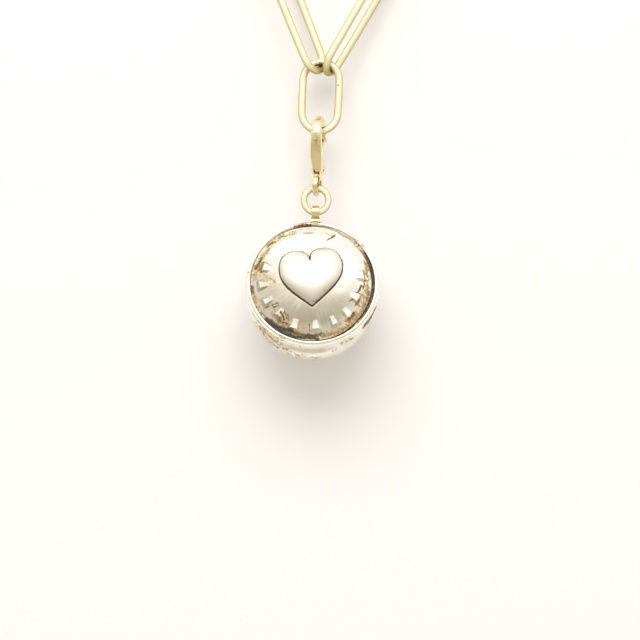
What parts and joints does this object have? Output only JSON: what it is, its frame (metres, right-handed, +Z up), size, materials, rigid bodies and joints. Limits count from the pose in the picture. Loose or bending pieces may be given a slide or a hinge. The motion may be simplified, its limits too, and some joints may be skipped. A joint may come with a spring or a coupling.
{
  "type": "ball-shaped heart pendant on chain links",
  "caption": "Hollow metal ball pendant with a puffed heart on its domed face, hung from paper-clip chain links by a lobster clasp and a jump ring.",
  "frame": {"origin": "middle of the drop link's top wire, where the pendant hangs on the necklace's two side links", "axes": "+Z up, +Y back towards the wearer, +X to the right of someone looking at the heart"},
  "size_m": [0.0218, 0.0161, 0.0624],
  "materials": {
    "gold_wire": "gloss",
    "gold_cast": "gloss",
    "spring_steel": "satin",
    "silver_body": "gloss",
    "silver_face": "satin"
  },
  "bodies": {
    "necklace_links": {"side_link_left": "gold_wire", "side_link_right": "gold_wire"},
    "drop": {"drop_link": "gold_wire"},
    "clasp": {"clasp_body": "gold_cast", "lever_rivet": "gold_cast", "lever_spring": "spring_steel"},
    "lever": {"clasp_lever": "gold_cast"},
    "ring": {"jump_ring": "gold_wire"},
    "ball": {"hanging_strap": "gold_cast", "back_cup": "silver_body", "bezel_rim": "silver_body", "face_plate": "silver_face", "heart": "silver_face"}
  },
  "joints": [
    {"name": "drop_link_swing", "type": "hinge", "parent": "necklace_links", "child": "drop", "pos_m": [0, 0, 0], "axis": [1, 0, 0], "range_deg": [-20, 20]},
    {"name": "clasp_swing", "type": "hinge", "parent": "drop", "child": "clasp", "pos_m": [0, 0, -0.0102], "axis": [1, 0, 0], "range_deg": [-60, 60]},
    {"name": "lever_press", "type": "hinge", "parent": "clasp", "child": "lever", "pos_m": [0.00007, 0.00039, -0.0158], "axis": [0.9848, -0.1736, 0], "range_deg": [0, 20], "stiffness_Nm_per_rad": 0.004},
    {"name": "ring_swing", "type": "hinge", "parent": "clasp", "child": "ring", "pos_m": [0, 0, -0.01958], "axis": [0.1736, 0.9848, 0], "range_deg": [-60, 60]},
    {"name": "ball_swing", "type": "hinge", "parent": "ring", "child": "ball", "pos_m": [0, 0, -0.02229], "axis": [1, 0, 0], "range_deg": [-70, 70]}
  ]
}
